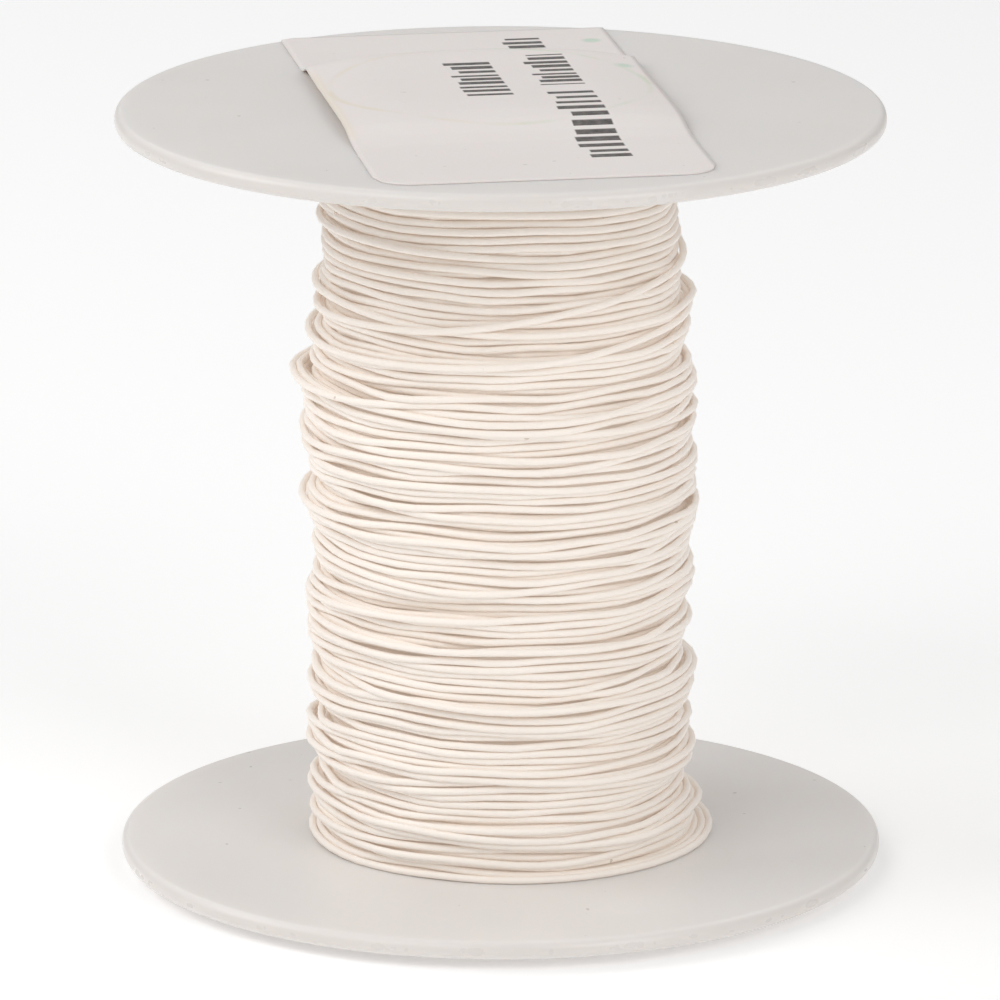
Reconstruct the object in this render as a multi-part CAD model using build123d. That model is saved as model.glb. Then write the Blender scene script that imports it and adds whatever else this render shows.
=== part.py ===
from build123d import *
from math import pi
import os

# A small plastic reel wound with fine insulated wire.
# Millimetres, +Z up along the reel's axis. The origin is the centre of the circle that the
# lower collar stands on, so the whole reel is above z = 0.

# Driving dimensions
FLANGE_D = 50.8          # both flanges, 2 in
FLANGE_T = 1.2           # thickness of each flange disc
WIDTH_OVER_FLANGES = 50.8  # outer face to outer face, 2 in
RIM_R = 0.55             # rounding of the rim, almost a full round
COLLAR_D = 15.875        # raised ring around the bore on each outer face, 5/8 in
COLLAR_H = 0.8
COLLAR_EDGE = 0.3        # rounding of the collar's outer edge
BORE_D = 12.7            # arbor hole through the flanges, 1/2 in
BORE_LEAD_IN = 0.4       # chamfer at the mouth of the bore
BARREL_OD = 19.05        # 3/4 in tube between the flanges
BARREL_ID = 15.875       # 5/8 in
SPIGOT_L = 6.0           # part of a flange that plugs into the barrel
SPIGOT_LEAD_IN = 0.5
WIRE_D = 0.5             # over the insulation
WIRE_LENGTH = 30480.0    # 100 ft
LABEL_W = 22.2           # 7/8 in
LABEL_T = 0.1
LABEL_CORNER_R = 2.4
LABEL_TURN = 9.4         # degrees anticlockwise, seen from above
LABEL_LIFT = 1.0         # of the underside over the collar
LABEL_FRONT = -21.4      # along the label from the axis to its front and back edges
LABEL_BACK = 22.6
LABEL_SHIFT = -0.3       # of the label's centre line, across its length

STANDING = (Align.CENTER, Align.CENTER, Align.MIN)

# Levels worked out from them
LOWER_OUTER = COLLAR_H
LOWER_INNER = LOWER_OUTER + FLANGE_T
UPPER_OUTER = LOWER_OUTER + WIDTH_OVER_FLANGES
UPPER_INNER = UPPER_OUTER - FLANGE_T
TRAVERSE = UPPER_INNER - LOWER_INNER
COLLAR_R = COLLAR_D / 2

# The winding's outer radius at heights above the lower flange's inner face. It flares where it
# meets the lower flange, bulges above the middle, and is thinner under the upper flange.
WINDING_OUTLINE = [
    (12.5, 0.0),
    (11.8, 4.0),
    (12.75, 11.0),
    (12.6, 18.0),
    (13.05, 24.0),
    (13.55, 29.5),
    (12.4, 35.0),
    (12.2, 42.0),
    (12.0, TRAVERSE),
]

# The label's underside, as distance along it and height above the flange: flat, up and over
# the collar, and down again behind it.
LABEL_LINE = [
    (LABEL_FRONT, 0.0),
    (-12.5, 0.0),
    (-COLLAR_R - 0.2, COLLAR_H + 0.02),
    (-4.8, LABEL_LIFT),
    (11.6, LABEL_LIFT),
    (14.8, 0.0),
    (LABEL_BACK, 0.0),
]


def flange():
    """One moulding: disc, outer collar and inner spigot, collar down, standing on z = 0."""
    disc = Pos(0, 0, COLLAR_H) * Cylinder(FLANGE_D / 2, FLANGE_T, align=STANDING)
    disc = fillet(disc.edges(), RIM_R)
    collar = Cylinder(COLLAR_R, COLLAR_H, align=STANDING)
    collar = fillet(collar.edges().sort_by(Axis.Z)[0], COLLAR_EDGE)
    spigot_base = Pos(0, 0, COLLAR_H + FLANGE_T)
    spigot = spigot_base * Cylinder(BARREL_ID / 2, SPIGOT_L, align=STANDING)
    spigot = chamfer(spigot.edges().sort_by(Axis.Z)[-1], SPIGOT_LEAD_IN)
    height = COLLAR_H + FLANGE_T + SPIGOT_L
    bore = Cylinder(BORE_D / 2, height, align=STANDING)
    body = disc + collar + spigot - bore
    mouth = body.edges().filter_by(GeomType.CIRCLE).group_by(Axis.Z)[0].sort_by(SortBy.RADIUS)[0]
    return chamfer(mouth, BORE_LEAD_IN)


def lower_flange():
    """The flange that the reel stands on."""
    return flange()


def upper_flange():
    """The same moulding turned over, its collar up."""
    return Pos(0, 0, UPPER_OUTER + COLLAR_H) * (Rot(180, 0, 0) * flange())


def barrel():
    """The tube that the wire is wound on; its ends butt against the flanges."""
    tube = Cylinder(BARREL_OD / 2, TRAVERSE, align=STANDING)
    hollow = Cylinder(BARREL_ID / 2, TRAVERSE, align=STANDING)
    return Pos(0, 0, LOWER_INNER) * (tube - hollow)


def wire_winding():
    """The closed outer shape of all the turns, from the barrel out to the last layer."""
    outline = [(radius, 0, height) for radius, height in WINDING_OUTLINE]
    outer = Spline(*outline)
    inner_low = (BARREL_OD / 2, 0, 0)
    inner_high = (BARREL_OD / 2, 0, TRAVERSE)
    rest = Polyline(outline[-1], inner_high, inner_low, outline[0])
    section = make_face([outer, rest])
    return Pos(0, 0, LOWER_INNER) * revolve(section, Axis.Z)


def label():
    """A paper strip stuck across the upper flange, lifted where it crosses the collar."""
    upper_line = [(y, z + LABEL_T) for y, z in reversed(LABEL_LINE)]
    side = make_face(Plane.YZ * Polyline(*LABEL_LINE, *upper_line, close=True))
    strip = Pos(-LABEL_W / 2, 0, 0) * extrude(side, LABEL_W, dir=(1, 0, 0))
    front_corners = strip.edges().filter_by(Axis.Z).group_by(Axis.Y)[0]
    strip = fillet(front_corners, LABEL_CORNER_R)
    strip = Rot(0, 0, LABEL_TURN) * (Pos(LABEL_SHIFT, 0, 0) * strip)
    flat_face = Cylinder(FLANGE_D / 2 - RIM_R, 3, align=STANDING)
    return Pos(0, 0, UPPER_OUTER) * (strip & flat_face)


def filled_share():
    """How much of the winding's volume is wire, which has to be about 0.5 to 0.7."""
    wire_volume = pi * (WIRE_D / 2) ** 2 * WIRE_LENGTH
    return wire_volume / wire_winding().volume


os.makedirs("parts", exist_ok=True)
export_step(lower_flange(), "parts/lower_flange.step")
export_step(upper_flange(), "parts/upper_flange.step")
export_step(barrel(), "parts/barrel.step")
export_step(wire_winding(), "parts/wire_winding.step")
export_step(label(), "parts/label.step")
print(f"wire fills {filled_share():.2f} of the winding")
print(f"height over the collars {UPPER_OUTER + COLLAR_H:.2f} mm")
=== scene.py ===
# %% [markdown]
# # A reel of fine wire
# This scene dresses a small plastic reel: two moulded flanges on a tube, a hundred feet of thin
# white insulated wire wound between them, and a paper label across the upper flange. The CAD
# model gives every size and place. Here the wire becomes one real strand, wound turn by turn,
# and the plastic, insulation and paper get surfaces worth looking at closely.

import math

import bmesh
import bpy
import numpy as np
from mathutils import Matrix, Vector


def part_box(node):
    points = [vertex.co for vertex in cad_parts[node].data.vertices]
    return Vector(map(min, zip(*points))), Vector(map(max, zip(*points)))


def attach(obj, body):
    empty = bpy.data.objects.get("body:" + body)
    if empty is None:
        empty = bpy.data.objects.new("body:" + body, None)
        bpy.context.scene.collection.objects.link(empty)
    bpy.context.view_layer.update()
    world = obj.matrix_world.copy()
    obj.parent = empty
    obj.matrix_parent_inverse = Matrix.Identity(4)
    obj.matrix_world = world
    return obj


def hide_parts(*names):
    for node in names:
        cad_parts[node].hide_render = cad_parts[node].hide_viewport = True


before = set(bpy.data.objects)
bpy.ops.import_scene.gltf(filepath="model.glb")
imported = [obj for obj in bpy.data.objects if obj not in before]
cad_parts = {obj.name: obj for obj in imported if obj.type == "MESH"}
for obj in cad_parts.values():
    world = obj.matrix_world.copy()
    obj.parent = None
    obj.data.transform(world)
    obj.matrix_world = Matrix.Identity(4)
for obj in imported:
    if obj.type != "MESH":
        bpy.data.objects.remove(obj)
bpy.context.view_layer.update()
print("CAD nodes:", sorted(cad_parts))

# %% [markdown]
# ## Sizes
# Blender works in metres here, so a millimetre is a named value and every small size is written
# as so many of them. The main places come from the CAD boxes. Only the sizes that a box can't
# tell, such as the rounding of a rim, are repeated here.

# %% Sizes from the frame
MM = 0.001
barrel_low, barrel_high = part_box("barrel")
flange_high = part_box("upper_flange")[1]
REEL_R = flange_high[0]
BARREL_R = barrel_high[0]
FLOOR_OF_WIRE = barrel_low[2]
TRAVERSE = barrel_high[2] - barrel_low[2]
UPPER_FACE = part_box("label")[0][2]
COLLAR_H = flange_high[2] - UPPER_FACE
FLANGE_T = UPPER_FACE - barrel_high[2]
MIDDLE = FLOOR_OF_WIRE + TRAVERSE / 2
WIRE_D = 0.5 * MM
WIRE_LENGTH = 30.48
print(f"flange radius {REEL_R / MM:.2f}, traverse {TRAVERSE / MM:.2f}, collar {COLLAR_H / MM:.2f} mm")

# %% [markdown]
# ## Camera
# Small products are often shot with a long lens from a little above, which keeps the two
# flanges nearly the same size.

# %% Camera
VIEW_ELEVATION = math.radians(15.14)
VIEW_DISTANCE = 0.6308
VIEW_DROP = 1.39 * MM    # the camera aims this far below the middle of the wire
VIEW_SHIFT = -0.04 * MM
LENS = 341.5             # on a sensor 36 mm wide


def make_camera():
    data = bpy.data.cameras.new("product_camera")
    data.lens = LENS
    data.sensor_width = 36
    data.clip_start = 0.05
    data.clip_end = 20
    camera = bpy.data.objects.new("product_camera", data)
    bpy.context.scene.collection.objects.link(camera)
    height = MIDDLE - VIEW_DROP + VIEW_DISTANCE * math.sin(VIEW_ELEVATION)
    camera.location = (VIEW_SHIFT, -VIEW_DISTANCE * math.cos(VIEW_ELEVATION), height)
    camera.rotation_euler = (math.pi / 2 - VIEW_ELEVATION, 0, 0)
    bpy.context.scene.camera = camera
    return camera


camera = make_camera()
print("camera at", [round(v, 3) for v in camera.location])

# %% [markdown]
# ## The wire
# On the real reel the wire is one strand about 30 m long. It was run on by hand or by a simple
# winder, so its turns are nearly level but wander, fall into the grooves of the layer below, and
# now and then climb across each other. Drawing that by eye looks fake, so the strand is wound
# as it is in life. A map keeps, for every angle and height, the radius at which the next strand
# would come to rest. Each new turn slides sideways towards a groove, rests on the map, is pulled
# tight over any dip, and then raises the map where it lies.

# %% The shape that the winding fills
STEPS = 96  # places on one turn
ROW = 0.05 * MM
TURN_STEP = 2 * math.pi / STEPS
WIRE_R = WIRE_D / 2
WINDING_OUTLINE = [  # outer radius and height above the lower flange, in mm
    (12.5, 0.0), (12.4, 1.0), (11.95, 2.2), (11.75, 4.2), (12.2, 7.5), (12.8, 11.0),
    (12.65, 14.0), (12.6, 18.0), (12.7, 21.0), (13.05, 24.0), (13.55, 29.5), (13.3, 32.0),
    (12.6, 34.3), (12.3, 36.5), (12.25, 42.0), (12.1, 48.4),
]
ROUGHNESS = 0.15 * MM  # how far the highest strands stand over the mean surface
rows = int(round(TRAVERSE / ROW)) + 1
row_heights = np.linspace(0, TRAVERSE, rows)
outline_r, outline_h = np.array(WINDING_OUTLINE).T * MM
wanted = np.interp(row_heights, outline_h, outline_r) - ROUGHNESS + WIRE_R
print(f"{rows} rows by {STEPS} steps; wanted {wanted.min() / MM:.2f} to {wanted.max() / MM:.2f} mm out")


# %% What has been wound so far
class Reel:
    """For each angle and height, the radius at which the centre of a new strand would rest."""

    def __init__(self):
        self.seat = np.full((STEPS, rows), BARREL_R + WIRE_R)

    def row(self, height):
        return min(max(int(round(height / ROW)), 0), rows - 1)

    def radii(self, steps, heights):
        at = np.clip(heights / ROW, 0, rows - 1.001)
        below = at.astype(int)
        share = at - below
        ring = steps % STEPS
        return self.seat[ring, below] * (1 - share) + self.seat[ring, below + 1] * share

    def cover(self, steps, heights, radii):
        """Raises the map by one strand's round section along its way."""
        for step, height, radius in zip(steps % STEPS, heights, radii):
            low, high = self.row(height - WIRE_D), self.row(height + WIRE_D) + 1
            side = row_heights[low:high] - height
            top = radius + np.sqrt(np.maximum(WIRE_D ** 2 - side ** 2, 0))
            near = np.abs(side) < WIRE_D
            part = self.seat[step, low:high]
            part[near] = np.maximum(part[near], top[near])


# %% [markdown]
# A tight strand can't follow a dip: it spans it with a straight run. On a circle, the radius that
# lies on the straight line between two neighbours is their harmonic mean times the cosine of the
# step between them. Lifting every place to that radius, again and again, pulls the turn tight.

# %% Pulling a turn tight
STIFF = 2.0                 # places over which the strand's own stiffness rounds a bend
BEND_REACH = 6              # places on each side that such a bend can feel
STILL = 0.0001 * MM         # a smaller change than this ends the pulling
SINKS_IN = 0.02 * MM        # a strand may press this far into the ones below
MOST_PULLS = 40


def tighten(rest, before, last_places):
    """Tension spans every dip with a straight run, and stiffness rounds the corners that are left."""
    radii = rest
    for _ in range(MOST_PULLS):
        left = np.concatenate([[before], radii[:-1]])
        right = np.concatenate([radii[1:], radii[-1:]])
        chord = 2 * left * right * math.cos(TURN_STEP) / (left + right)
        chord[-1] = radii[-1]
        higher = np.maximum(radii, chord)
        if np.abs(higher - radii).max() < STILL:
            break
        radii = higher
    reach = np.arange(-BEND_REACH, BEND_REACH + 1)
    weights = np.exp(-0.5 * (reach / STIFF) ** 2)
    weights /= weights.sum()
    for _ in range(2):
        longer = np.concatenate([last_places, radii, np.full(BEND_REACH, radii[-3:].mean())])
        radii = np.maximum(np.convolve(longer, weights, mode="valid"), rest - SINKS_IN)
    return radii


# %% [markdown]
# The guide is the finger or the arm that leads the wire on. It makes six journeys from flange to
# flange and most of a seventh. The first five are careless, with open turns that wander, and the
# last two are neat. On each it slows down where the winding is still too thin, so the reel ends
# up with its bulge and waist. The strand follows the guide late, with some slip.

# %% Winding
JOURNEYS = (0.56, 0.56, 0.56, 0.56, 0.56, 1.0, 1.0)  # wire that each one carries, up and down in turn
LAST_HEIGHT = 34.7 * MM   # where the guide stops in the last one
LAST_TURN_COUNT = 66      # turns kept for that one
SLOWEST = 1.25            # the guide slows down this much where wire is wanting
FASTEST = 0.8             # and hurries this much where there is enough
ENOUGH = 0.02 * MM        # the least layer that is still counted as wanting
LEVEL_ROWS = 21           # rows over which the winding's level is averaged
GUIDE_PULL = 0.08         # share of the distance to the guide that the strand makes up
GROOVE_PULL = 0.03 * MM
DRAG = 0.25
STEEPEST = 0.055 * MM     # sideways travel from one place to the next
STEEPEST_SLOPE = 1.5      # of the map; steeper ones pull no harder
WANDER_PARTS = np.array([0.5, 0.6, 0.8])       # shares of three slow waves
WANDER_SPEEDS = np.array([0.83, 0.31, 0.093])  # and how fast they run, against the reel's turning
CARELESS_WANDER = 0.25 * MM
NEAT_WANDER = 0.15 * MM
LEAN = 0.35 * MM          # how far the low turns lean down on the right side
LOWEST, HIGHEST = WIRE_R, TRAVERSE - WIRE_R
WAY_BEFORE_LAST = (len(JOURNEYS) - 1) * TRAVERSE
WHOLE_WAY = WAY_BEFORE_LAST + LAST_HEIGHT


def guide_height(gone):
    """Where the guide is when it has travelled that far, up and down in turn."""
    rest = gone % (2 * TRAVERSE)
    return min(rest, 2 * TRAVERSE - rest)


def visits_left(gone):
    """For each row, the wire that the guide's later visits carry, with and without the last one."""
    total = np.zeros(rows)
    for number, carried in enumerate(JOURNEYS[:-1]):
        comes_by = number * TRAVERSE + (row_heights if number % 2 == 0 else TRAVERSE - row_heights)
        total += carried * (comes_by > gone - 6 * ROW)
    last = JOURNEYS[-1] * (row_heights < LAST_HEIGHT)
    return total + last, total


def pitches(reel, gone, left):
    """The guide's travel in a turn at each row: slower where more wire is still wanted."""
    mean_seat = np.pad(reel.seat.mean(axis=0), LEVEL_ROWS // 2, mode="edge")
    level = np.convolve(mean_seat, np.ones(LEVEL_ROWS) / LEVEL_ROWS, mode="valid")
    turns_left = max(left / (math.pi * (level.mean() + wanted.mean())), 0.5)
    if gone > WAY_BEFORE_LAST:
        return np.full(rows, max(WHOLE_WAY - gone, 0) / turns_left)
    carried, before_last = visits_left(gone)
    layer = np.maximum(wanted - level, ENOUGH) / np.maximum(carried, 0.5)
    share = np.clip(layer / max(layer[carried > 0].mean(), ENOUGH), FASTEST, SLOWEST)
    usual = ROW * (before_last * share).sum() / max(turns_left - LAST_TURN_COUNT, 1)
    return usual / share / JOURNEYS[int(gone / TRAVERSE)]


def lay(reel, steps, heights, before):
    """Lays the next stretch of strand on the reel and gives its radii."""
    radii = tighten(reel.radii(steps, heights), before[-1], before[-BEND_REACH:])
    reel.cover(steps, heights, radii)
    return radii


def wind(length, seed):
    """Heights and radii of one strand of that length, from the barrel outwards."""
    chance = np.random.default_rng(seed)
    phases = chance.uniform(0, 2 * math.pi, 3)
    speeds = WANDER_SPEEDS * chance.uniform(0.8, 1.2, 3)
    reel = Reel()
    gone, height, slip = 0.0, LOWEST, 0.0
    used, turn = 0.0, 0
    radii = np.full(STEPS, BARREL_R + WIRE_R)
    all_heights, all_radii = [], []
    while used < length:
        pitch = pitches(reel, gone, length - used)
        slopes = np.clip(np.gradient(reel.seat, ROW, axis=1), -STEEPEST_SLOPE, STEEPEST_SLOPE)
        careless = JOURNEYS[min(int(gone / TRAVERSE), len(JOURNEYS) - 1)] < 1
        sizes = (CARELESS_WANDER if careless else NEAT_WANDER) * WANDER_PARTS
        steps = turn * STEPS + np.arange(STEPS)
        heights = np.empty(STEPS)
        for i in range(STEPS):
            guide = guide_height(gone)
            gone = min(gone + pitch[reel.row(guide)] / STEPS, WHOLE_WAY)
            angle = steps[i] * TURN_STEP
            wander = (sizes * np.sin(phases + speeds * angle)).sum()
            lean = LEAN * (1 - guide / TRAVERSE) * math.cos(angle)
            aim = min(max(guide + wander - lean, LOWEST), HIGHEST)
            slip += GUIDE_PULL * (aim - height) - GROOVE_PULL * slopes[i, reel.row(height)] - DRAG * slip
            slip = min(max(slip, -STEEPEST), STEEPEST)
            height = min(max(height + slip, LOWEST), HIGHEST)
            heights[i] = height
        radii = lay(reel, steps, heights, radii)
        used += radii.sum() * TURN_STEP
        turn += 1
        all_heights.append(heights)
        all_radii.append(radii)
    return np.concatenate(all_heights), np.concatenate(all_radii), reel


# %% [markdown]
# The last three and a half turns were laid by hand, when the winder had stopped. They cross the
# neat ones at a few degrees, which is what the eye catches first on such a reel. So they follow
# a short list of given heights. The wire's end is pushed in between two turns.

# %% The last turns
LAST_TURNS = [  # degrees round from the front, towards +X, and height above the lower flange in mm
    (-60, 34.7), (-5, 35.0), (61, 36.1), (180, 37.8), (288, 38.3), (337, 37.2), (390, 36.9),
    (540, 37.0), (648, 36.8), (697, 37.1), (782, 39.5), (900, 41.6), (1008, 43.5), (1020, 43.8),
]
TAIL_PLACES = 22          # the wire's end sinks in over these
TAIL_SINKS = 0.5 * MM
HAND_START = -270         # degrees; the winder stops here
HAND_REACH = 12           # places over which a hand's changes of slope are rounded
HAND_SOFT = 5.0


def last_turns(reel, heights, radii):
    """Adds the hand-laid turns to the strand."""
    angle_knots, height_knots = np.array(LAST_TURNS).T
    count = int(round((angle_knots[-1] - HAND_START) / 360 * STEPS))
    around = HAND_START + 360 / STEPS * np.arange(count)
    aims = np.interp(around, [HAND_START, *angle_knots], [heights[-1] / MM, *height_knots]) * MM
    reach = np.arange(-HAND_REACH, HAND_REACH + 1)
    weights = np.exp(-0.5 * (reach / HAND_SOFT) ** 2)
    longer = np.pad(aims, HAND_REACH, mode="edge")
    aims = np.convolve(longer, weights / weights.sum(), mode="valid")
    for first in range(0, count, STEPS):
        part = aims[first:first + STEPS]
        steps = len(radii) + np.arange(len(part))
        laid = lay(reel, steps, part, radii[-STEPS:])
        radii = np.concatenate([radii, laid])
    radii[-TAIL_PLACES:] -= TAIL_SINKS * np.linspace(0, 1, TAIL_PLACES) ** 2
    return np.concatenate([heights, aims]), radii


LAST_LENGTH = 0.28  # metres of wire kept for the turns laid by hand
heights, radii, reel = wind(WIRE_LENGTH - LAST_LENGTH, seed=7)
print(f"the winder stops at {heights[-1] / MM:.1f} mm")
heights, radii = last_turns(reel, heights, radii)
print(f"{len(radii) / STEPS:.0f} turns, {radii.sum() * TURN_STEP:.2f} m")

# %% [markdown]
# ## From places to a strand
# The strand is drawn as one NURBS line, whose points pull it but don't lie on it. Pushing each
# point out by an eighth of how far it stands off its neighbours brings the line back onto the
# wound places. The hidden inner layers need only a few points a turn, and the outer ones, which
# show, get many.

# %% The strand
OUTER_TURNS = 172   # with 48 points a turn
MIDDLE_TURNS = 60   # with 24; the rest have 12


def chosen_places(total):
    """Every eighth place in the deep layers, then every fourth, and every second outside."""
    deep = total - (OUTER_TURNS + MIDDLE_TURNS) * STEPS
    outer = total - OUTER_TURNS * STEPS
    return np.concatenate([np.arange(0, deep, 8), np.arange(deep, outer, 4), np.arange(outer, total, 2)])


def strand_points(heights, radii):
    picked = chosen_places(len(radii))
    angles = picked * TURN_STEP
    across, up = radii[picked], heights[picked] + FLOOR_OF_WIRE
    places = np.stack([across * np.cos(angles), across * np.sin(angles), up], axis=1)
    pulled = places.copy()
    pulled[1:-1] -= (places[:-2] - 2 * places[1:-1] + places[2:]) / 8
    return pulled


def make_wire(points):
    """The bevel is one metre deep and the points' own radius brings it down to the wire's."""
    curve = bpy.data.curves.new("wire", "CURVE")
    curve.dimensions = "3D"
    curve.twist_mode = "Z_UP"
    curve.bevel_depth = 1
    curve.bevel_resolution = 2
    curve.use_fill_caps = True
    spline = curve.splines.new("NURBS")
    spline.points.add(len(points) - 1)
    spline.points.foreach_set("co", np.column_stack([points, np.ones(len(points))]).ravel())
    spline.points.foreach_set("radius", np.full(len(points), WIRE_R))
    spline.order_u = 3
    spline.use_endpoint_u = True
    curve.resolution_u = 1
    spline.resolution_u = 1
    wire = bpy.data.objects.new("wire", curve)
    bpy.context.scene.collection.objects.link(wire)
    return wire


points = strand_points(heights, radii)
wire = make_wire(points)
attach(wire, "root")
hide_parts("wire_winding")
print(len(points), "control points")

# %% [markdown]
# ## Shader maths
# Procedural materials are sums and products of textures. This small class wraps one socket, so
# that such a sum can be written as ordinary Python.


# %% Shader maths
class Value:
    """A number that varies over a surface; Python's operators on it add Math nodes."""

    def __init__(self, tree, socket):
        self.tree = tree
        self.socket = socket

    def math(self, operation, *others):
        node = self.tree.nodes.new("ShaderNodeMath")
        node.operation = operation
        for slot, value in zip(node.inputs, (self, *others)):
            if isinstance(value, Value):
                self.tree.links.new(value.socket, slot)
            else:
                slot.default_value = value
        return Value(self.tree, node.outputs[0])

    def __add__(self, other):
        return self.math("ADD", other)

    def __mul__(self, other):
        return self.math("MULTIPLY", other)

    def __sub__(self, other):
        return self.math("SUBTRACT", other)

    def __rsub__(self, other):
        return (self * -1) + other

    def __truediv__(self, other):
        return self.math("DIVIDE", other)

    def above(self, limit, soft):
        """0 below the limit and 1 above it, with a soft step."""
        return ((self - limit) / soft + 0.5).math("MAXIMUM", 0.0).math("MINIMUM", 1.0)

    def below(self, limit, soft):
        return 1 - self.above(limit, soft)


class Finish:
    """One material: a Principled shader and the nodes that feed it."""

    def __init__(self, name, **constants):
        self.material = bpy.data.materials.new(name)
        self.material.use_nodes = True
        self.tree = self.material.node_tree
        self.shader = self.tree.nodes["Principled BSDF"]
        self.set(self.shader, constants)

    def set(self, node, values):
        for name, value in values.items():
            socket = node.inputs[name] if isinstance(name, int) else node.inputs[name.replace("_", " ")]
            if isinstance(value, Value):
                self.tree.links.new(value.socket, socket)
            else:
                socket.default_value = value

    def add(self, kind, settings=None, values=None, output=0):
        """A node of any kind: its settings first, then its sockets. Gives one output."""
        node = self.tree.nodes.new(kind)
        for name, value in (settings or {}).items():
            setattr(node, name, value)
        self.set(node, values or {})
        return Value(self.tree, node.outputs[output])

    def place(self):
        """Where the surface is, in the reel's own frame, in metres."""
        return self.add("ShaderNodeTexCoord", output="Object")

    def across_and_ahead(self, place):
        """The first two numbers of a place, as two values."""
        return [self.add("ShaderNodeSeparateXYZ", {}, {"Vector": place}, axis) for axis in (0, 1)]

    def stretched(self, place, scale):
        return self.add("ShaderNodeVectorMath", {"operation": "MULTIPLY"}, {0: place, 1: scale})

    def noise(self, place, size, detail=2.0):
        """Cloudy values from 0 to 1, of about that size in metres."""
        values = {"Vector": place, "Scale": 1 / size, "Detail": detail}
        return self.add("ShaderNodeTexNoise", {}, values, "Fac")

    def blend(self, share, first, second):
        """A colour between two, by a share from 0 to 1."""
        node = self.tree.nodes.new("ShaderNodeMix")
        node.data_type = "RGBA"
        self.set(node, {0: share, 6: first, 7: second})
        return Value(self.tree, node.outputs[2])

    def bump(self, height, strength, distance):
        values = {"Height": height, "Strength": strength, "Distance": distance}
        return self.add("ShaderNodeBump", {}, values, "Normal")

    def feed(self, **links):
        self.set(self.shader, links)


# %% [markdown]
# ## Wire insulation
# The wire's skin is a thin white fluoropolymer: smooth, a little waxy, with a soft gloss. Its
# tone drifts from strand to strand, and handling leaves a few dark specks. The tan colour in the
# gaps isn't painted. It comes from light that bounces several times between cream surfaces. Real
# insulation also lets some light through from strand to strand. Tracing that would take very many
# paths, so a very weak, even glow stands for it. It shows only in the gaps.


# %% Insulation finish
def insulation():
    finish = Finish("white_insulation", Roughness=0.42, IOR=1.42, Subsurface_Weight=0.25,
                    Subsurface_Radius=(1.0, 0.9, 0.8), Subsurface_Scale=0.12 * MM,
                    Emission_Strength=0.065, Emission_Color=(1.0, 0.97, 0.90, 1))
    place = finish.place()
    streaks = finish.noise(finish.stretched(place, (0.12, 0.12, 1.0)), 0.7 * MM, detail=1)
    clouds = finish.noise(place, 9 * MM, detail=2)
    tone = (streaks * 0.6 + clouds * 0.4).above(0.5, 0.5)
    clean = finish.blend(tone, (0.835, 0.765, 0.70, 1), (0.855, 0.79, 0.73, 1))
    specks = finish.noise(place, 0.7 * MM, detail=0).above(0.90, 0.02)
    colour = finish.blend(specks * 0.5, clean, (0.35, 0.26, 0.17, 1))
    rough = finish.noise(place, 2.5 * MM) * 0.16 + 0.34
    finish.feed(Base_Color=colour, Roughness=rough)
    return finish.material


wire.data.materials.append(insulation())
print("wire finished")

# %% [markdown]
# ## Flanges
# Each flange is one moulding: a disc with a rounded rim, a low collar around the bore outside,
# and a spigot that plugs into the barrel inside. It is a turned shape, so its half section is
# drawn once, corner by corner with small arcs, and swept round the axis. That gives even, smooth
# normals on the rim, where the softboxes are mirrored as thin bright lines.

# %% A turned shape
RIM_R = 0.55 * MM
COLLAR_R = 7.94 * MM
BORE_R = 6.35 * MM
SPIGOT_L = 6.0 * MM
SPIGOT_LEAD_IN = 0.5 * MM
BORE_LEAD_IN = 0.4 * MM
COLLAR_EDGE = 0.3 * MM    # rounding of the collar's outer edge
COLLAR_ROOT = 0.12 * MM   # and of the corner at its foot
FLAT_PARTS = 12           # rings on each flat face, which keep its normals even
AROUND = 256


def arc(centre, radius, start, end, parts=8):
    """Points on an arc in the half section, angles in degrees from outwards towards up."""
    turns = np.radians(np.linspace(start, end, parts + 1))
    return [(centre[0] + radius * math.cos(t), centre[1] + radius * math.sin(t)) for t in turns]


def flange_section():
    """The closed half section, collar down, from the collar's foot outwards and back by the bore."""
    low, high = COLLAR_H, COLLAR_H + FLANGE_T
    flat = np.linspace(COLLAR_R + 1.5 * MM, REEL_R - RIM_R - 0.6 * MM, FLAT_PARTS)
    section = arc((COLLAR_R - COLLAR_EDGE, COLLAR_EDGE), COLLAR_EDGE, -90, 0)
    section += arc((COLLAR_R + COLLAR_ROOT, low - COLLAR_ROOT), COLLAR_ROOT, 180, 90, 4)
    section += [(r, low) for r in flat]
    section += arc((REEL_R - RIM_R, low + RIM_R), RIM_R, -90, 0)
    section += arc((REEL_R - RIM_R, high - RIM_R), RIM_R, 0, 90)
    section += [(r, high) for r in flat[::-1]]
    section += [(COLLAR_R, high), (COLLAR_R, high + SPIGOT_L - SPIGOT_LEAD_IN)]
    section += [(COLLAR_R - SPIGOT_LEAD_IN, high + SPIGOT_L), (BORE_R, high + SPIGOT_L)]
    section += [(BORE_R, BORE_LEAD_IN), (BORE_R + BORE_LEAD_IN, 0)]
    return section


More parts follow.
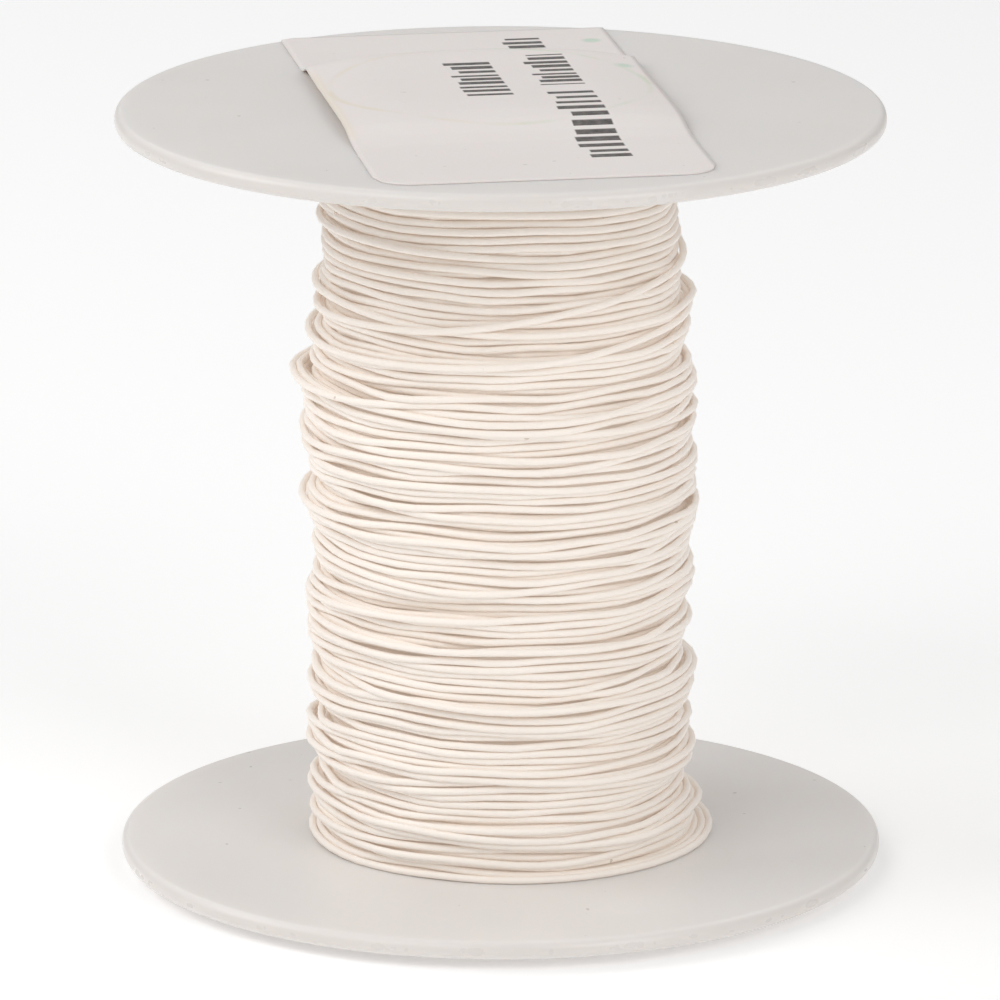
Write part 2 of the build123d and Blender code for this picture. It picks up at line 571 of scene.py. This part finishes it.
def turned(name, section, lift=0.0, flipped=False):
    """A closed half section swept round the axis; flipped turns the piece upside down."""
    mesh = bmesh.new()
    rings = []
    for k in range(AROUND):
        angle = 2 * math.pi * k / AROUND
        way = -1 if flipped else 1
        ring = [mesh.verts.new((r * math.cos(angle), way * r * math.sin(angle), lift + way * z))
                for r, z in section]
        rings.append(ring)
    count = len(section)
    for k in range(AROUND):
        here, there = rings[k], rings[(k + 1) % AROUND]
        for i in range(count):
            j = (i + 1) % count
            mesh.faces.new((here[i], there[i], there[j], here[j]))
    bmesh.ops.recalc_face_normals(mesh, faces=mesh.faces)
    data = bpy.data.meshes.new(name)
    mesh.to_mesh(data)
    mesh.free()
    data.polygons.foreach_set("use_smooth", [True] * len(data.polygons))
    piece = bpy.data.objects.new(name, data)
    bpy.context.scene.collection.objects.link(piece)
    data.set_sharp_from_angle(angle=math.radians(40))
    return piece


lower = turned("lower_flange_moulding", flange_section())
upper = turned("upper_flange_moulding", flange_section(), lift=flange_high[2], flipped=True)
for piece, node in ((lower, "lower_flange"), (upper, "upper_flange")):
    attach(piece, "root")
    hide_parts(node)
print("flange faces:", len(lower.data.polygons))

# %% [markdown]
# ## Reel plastic
# The flanges are undyed polyethylene: milky, faintly see-through at the rim, satin rather than
# shiny. Subsurface scattering gives the milkiness. Slow clouds, a few trapped specks and fine
# rubbed marks keep the big flat faces from looking computed. The rim's colour is painted a little
# darker: painted shade that stands in for light leaking away through the edge.


# %% Plastic finish
def milky_plastic(name):
    finish = Finish(name, IOR=1.5, Subsurface_Weight=0.5, Subsurface_Radius=(1.0, 0.85, 0.7),
                    Subsurface_Scale=2.0 * MM)
    place = finish.place()
    clouds = finish.noise(place, 14 * MM, detail=2).above(0.5, 0.6)
    clean = finish.blend(clouds, (0.73, 0.71, 0.695, 1), (0.765, 0.745, 0.73, 1))
    dots = finish.noise(place, 0.6 * MM, detail=0).above(0.87, 0.02)
    x, y = finish.across_and_ahead(place)
    rim = (x * x + y * y).math("SQRT").above(REEL_R - 0.2 * MM, 0.5 * MM)
    # painted shade: the rim's colour is darkened a little, standing in for light leaking away through the
    # edge
    shaded_rim_and_specks = finish.blend(rim * (clouds * 0.25 + 0.55), clean, (0.58, 0.545, 0.52, 1))
    colour = finish.blend(dots * (1 - rim) * 0.5, shaded_rim_and_specks, (0.36, 0.33, 0.30, 1))
    rubbed = finish.noise(finish.stretched(place, (1.0, 0.2, 1.0)), 1.4 * MM, detail=3)
    rough = rubbed * 0.12 - rim * 0.12 + 0.33
    ripple = finish.noise(place, 5 * MM, detail=1)
    normal = finish.bump(ripple + rubbed * 0.02, 0.25, 0.05 * MM)
    finish.feed(Base_Color=colour, Roughness=rough, Normal=normal)
    return finish.material


plastic = milky_plastic("milky_plastic")
for piece in (lower, upper):
    piece.data.materials.append(plastic)
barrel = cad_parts["barrel"]
barrel.data.materials.clear()
barrel.data.materials.append(milky_plastic("barrel_plastic"))
print("plastic finished")

# %% [markdown]
# ## Label
# The label is a strip of matt paper stuck across the flange. It can't follow the collar, so it
# rises in front of it, runs across, and drops in a sharp fold behind. Paper bends but doesn't
# stretch, so its height depends almost only on the distance along the strip. A grid of points is
# lifted by that profile and given the paper's thickness.

# %% Label shape
LABEL_TURN = math.radians(9.4)
LABEL_W = 22.2 * MM
LABEL_FRONT, LABEL_BACK = -21.4 * MM, 22.6 * MM
LABEL_SHIFT = -0.3 * MM
LABEL_CORNER = 2.4 * MM
PAPER_T = 0.1 * MM
PAPER_CELL = 0.35 * MM
PAPER_PROFILE = [  # distance along the strip and height over the flange, in mm
    (-21.4, 0.0), (-13.5, 0.0), (-11.0, 0.08), (-9.2, 0.32), (-7.2, 0.80), (-5.2, 0.96),
    (-2.0, 0.97), (2.0, 0.92), (6.0, 0.86), (9.0, 0.90), (11.2, 0.97), (12.0, 0.94),
    (12.6, 0.72), (13.4, 0.25), (14.2, 0.05), (15.5, 0.0), (22.6, 0.0),
]
CREST_BOW = 0.02 / MM     # how much the fold bows back
EDGE_DROOP = 0.4          # share of its height that the paper loses at its long edges
RIM_GAP = 0.45 * MM       # the far corners are trimmed this far inside the flange's edge
SPARE = 1.5 * MM          # the grid runs this far past the back edge before it is trimmed
GLUE_T = 0.01 * MM


def paper_height(across, along):
    """Height of the paper. The fold bows back at the middle, and the long edges droop past the collar."""
    at, height = np.array(PAPER_PROFILE).T * MM
    bow = CREST_BOW * across ** 2 - 1.0 * MM
    shift = bow * np.clip(along / (12 * MM), 0, 1)
    beside = np.clip((np.abs(across) - 6 * MM) / (5.1 * MM), 0, 1)
    return np.interp(along + shift, at, height) * (1 - EDGE_DROOP * beside ** 2)


def trimmed(across, along):
    """The distance along the strip, kept inside the round front corners and the back edge."""
    side = abs(across) - (LABEL_W / 2 - LABEL_CORNER)
    corner_end = LABEL_FRONT + LABEL_CORNER
    if side > 0 and along < corner_end:
        start = corner_end - math.sqrt(max(LABEL_CORNER ** 2 - side ** 2, 0))
        along = start + (along - LABEL_FRONT) / LABEL_CORNER * (corner_end - start)
    rim = math.sqrt((REEL_R - RIM_GAP) ** 2 - (across + LABEL_SHIFT) ** 2)
    return min(along, LABEL_BACK, rim)


def make_label():
    """A flat grid with the paper's outline first, then lifted, turned and given thickness."""
    mesh = bmesh.new()
    length = LABEL_BACK + SPARE - LABEL_FRONT
    columns = np.linspace(-LABEL_W / 2, LABEL_W / 2, round(LABEL_W / PAPER_CELL) + 1)
    lines = LABEL_FRONT + np.linspace(0, length, round(length / PAPER_CELL) + 1)
    grid = [[mesh.verts.new((across, trimmed(across, along), 0)) for along in lines] for across in columns]
    for here, there in zip(grid, grid[1:]):
        for j in range(len(lines) - 1):
            mesh.faces.new((here[j], there[j], there[j + 1], here[j + 1]))
    bmesh.ops.remove_doubles(mesh, verts=mesh.verts, dist=0.002 * MM)
    spin = complex(math.cos(LABEL_TURN), math.sin(LABEL_TURN))
    for vert in mesh.verts:
        across, along = vert.co[0], vert.co[1]
        height = float(paper_height(across, along))
        turned_place = complex(across + LABEL_SHIFT, along) * spin
        vert.co = (turned_place.real, turned_place.imag, UPPER_FACE + height + GLUE_T)
    data = bpy.data.meshes.new("label_paper")
    mesh.to_mesh(data)
    mesh.free()
    data.polygons.foreach_set("use_smooth", [True] * len(data.polygons))
    label = bpy.data.objects.new("label_paper", data)
    bpy.context.scene.collection.objects.link(label)
    thick = label.modifiers.new("thickness", "SOLIDIFY")
    thick.thickness = PAPER_T
    thick.offset = 1
    return label


label = make_label()
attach(label, "root")
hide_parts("label")
print("label faces:", len(label.data.polygons))


# %% [markdown]
# ## Printed paper
# The real label has two rows of printing. Here they are plain strokes of the same size, in groups
# like words, and they say nothing. A shader draws them: a repeating stripe along the strip is cut
# off at the ends of each group and at the row's edges. Old glue and the collar's edge have left a
# faint ring, yellowish on one side and greener on the other.

# %% Paper finish
PRINTED_ROWS = [  # left and right edge of a row, start and end of a group, stroke to stroke, in mm
    (3.1, 6.3, -16.5, -0.6, 1.45),
    (3.2, 6.2, 1.4, 10.6, 1.15),
    (3.2, 6.2, 12.4, 20.0, 1.3),
    (-2.2, 1.0, -1.6, 9.5, 1.2),
]
INK = (0.075, 0.07, 0.065, 1)
THINNEST = 0.42           # least width of a stroke, as a share of the distance to the next
THICKER = 0.3             # chance adds up to this
SIDE_SOFT = 0.12          # softness of its sides, a share too
END_SOFT = 0.1 * MM       # and of its ends
END_SHIFT = 0.9 * MM      # chance moves it across its row by up to this
MORE_CHANCE = 7           # the fraction of chance times this is as good as a second draw


def printed_strokes(finish, across, along):
    """1 where there is ink. Chance gives each stroke its own width and ends."""
    ink = None
    for left, right, start, end, spacing in PRINTED_ROWS:
        place = along / (spacing * MM)
        number = place.math("FLOOR")
        chance = finish.add("ShaderNodeTexWhiteNoise", {"noise_dimensions": "1D"}, {"W": number})
        stroke = place.math("FRACT").below(chance * THICKER + THINNEST, SIDE_SOFT)
        shift = (chance * MORE_CHANCE).math("FRACT") * END_SHIFT
        group = along.above(start * MM, END_SOFT) * along.below(end * MM, END_SOFT)
        row = (across - shift).above(left * MM, END_SOFT) * across.below(right * MM, END_SOFT)
        part = stroke * group * row
        ink = part if ink is None else ink.math("MAXIMUM", part)
    return ink


RING_CENTRE = (0, 2.5)    # of the old mark on the paper, in mm
RING_R = 10.8


def spot(across, along, centre, radius, soft):
    """1 within a circle on the paper, all in mm."""
    side = across - centre[0] * MM
    ahead = along - centre[1] * MM
    return (side * side + ahead * ahead).math("SQRT").below(radius * MM, soft * MM)


def printed_paper():
    finish = Finish("printed_paper", Roughness=0.72, IOR=1.45, Subsurface_Weight=0.1,
                    Subsurface_Scale=0.3 * MM)
    place = finish.place()
    x, y = finish.across_and_ahead(place)
    across = x * math.cos(LABEL_TURN) + y * math.sin(LABEL_TURN) - LABEL_SHIFT
    along = y * math.cos(LABEL_TURN) - x * math.sin(LABEL_TURN)
    fibres = finish.noise(place, 0.5 * MM, detail=3)
    clouds = finish.noise(place, 8 * MM)
    patches = finish.noise(place, 4 * MM)
    clean = finish.blend(clouds, (0.79, 0.735, 0.71, 1), (0.82, 0.765, 0.74, 1))
    ring = spot(across, along, RING_CENTRE, RING_R, 0.3) - spot(across, along, RING_CENTRE, RING_R - 0.4, 0.3)
    right_side = across.above(0, 6 * MM)
    ring_tone = finish.blend(right_side, (0.74, 0.66, 0.50, 1), (0.60, 0.68, 0.52, 1))
    stained = finish.blend(ring * patches.above(0.52, 0.3) * 0.6, clean, ring_tone)
    middle_part = along.above(-9 * MM, 3 * MM) * along.below(9 * MM, 3 * MM)
    left_edge = across.below(-10.6 * MM, 0.5 * MM) * middle_part
    edged = finish.blend(left_edge * 0.4, stained, (0.78, 0.68, 0.52, 1))
    corner_mark = spot(across, along, (9.6, 18.6), 0.6, 0.4)
    edge_mark = spot(across, along, (9.9, 7.5), 0.5, 0.6)
    marks = corner_mark.math("MAXIMUM", edge_mark)
    marked = finish.blend(marks * 0.5, edged, (0.38, 0.62, 0.46, 1))
    specks = finish.noise(place, 0.5 * MM, detail=0).above(0.88, 0.02)
    shaded_rim_and_specks = finish.blend(specks * 0.4, marked, (0.35, 0.31, 0.27, 1))
    ink = printed_strokes(finish, across, along) * (fibres * 0.3 + 0.78).math("MINIMUM", 1.0)
    colour = finish.blend(ink, shaded_rim_and_specks, INK)
    ripples = finish.noise(finish.stretched(place, (0.5, 1.0, 1.0)), 4.5 * MM, detail=1)
    finish.feed(Base_Color=colour, Normal=finish.bump(ripples + fibres * 0.03, 0.35, 0.12 * MM))
    return finish.material


label.data.materials.append(printed_paper())

# %% [markdown]
# ## Floor and light
# The reel stands on a plain pale floor, which glows a little so that it stays bright far behind
# the reel too. Two softboxes in front, left and right of the camera and above it, give the paired
# highlights on the rims. One at the side and two weak ones behind light the rest, and a bright
# world fills the shadows.


# %% Floor
FLOOR_HALF = 1.5  # metres
FLOOR_GLOW = 0.17


def make_floor():
    mesh = bpy.data.meshes.new("floor")
    corners = [(-1, -1), (1, -1), (1, 1), (-1, 1)]
    mesh.from_pydata([(x * FLOOR_HALF, y * FLOOR_HALF, 0) for x, y in corners], [], [(0, 1, 2, 3)])
    floor = bpy.data.objects.new("floor", mesh)
    bpy.context.scene.collection.objects.link(floor)
    finish = Finish("pale_floor", Base_Color=(0.93, 0.93, 0.93, 1), Roughness=0.8,
                    Emission_Color=(1, 1, 1, 1), Emission_Strength=FLOOR_GLOW)
    mesh.materials.append(finish.material)


make_floor()
print("floor laid")

# %% Lights
LAMP_DISTANCE = 0.7  # metres from the middle of the reel
LAMP_SIZE = 0.4
SOFTBOXES = [  # name, degrees round from the camera's side, degrees up, watts
    ("left_softbox", -36, 42, 1.05),
    ("right_softbox", 36, 27, 1.5),
    ("side_softbox", -90, 35, 1.5),
    ("back_left_softbox", -145, 40, 0.37),
    ("back_right_softbox", 145, 40, 0.31),
]
WORLD_STRENGTH = 0.42


def softbox(name, azimuth, elevation, power):
    """A square area light that faces the middle of the reel."""
    data = bpy.data.lights.new(name, "AREA")
    data.shape = "SQUARE"
    data.size = LAMP_SIZE
    data.energy = power
    lamp = bpy.data.objects.new(name, data)
    bpy.context.scene.collection.objects.link(lamp)
    a, e = math.radians(azimuth), math.radians(elevation)
    out = LAMP_DISTANCE * math.cos(e)
    lamp.location = (out * math.sin(a), -out * math.cos(a), MIDDLE + LAMP_DISTANCE * math.sin(e))
    lamp.rotation_euler = (math.pi / 2 - e, 0, a)


for box in SOFTBOXES:
    softbox(*box)
world = bpy.data.worlds.new("studio")
bpy.context.scene.world = world
world.use_nodes = True
world.node_tree.nodes["Background"].inputs["Color"].default_value = (1, 1, 1, 1)
world.node_tree.nodes["Background"].inputs["Strength"].default_value = WORLD_STRENGTH
bpy.context.scene.view_settings.view_transform = "Standard"
bpy.context.scene.cycles.diffuse_bounces = 24  # light reaches the gaps only after many bounces
bpy.context.scene.cycles.max_bounces = 32
print("lit by", len(SOFTBOXES), "softboxes")
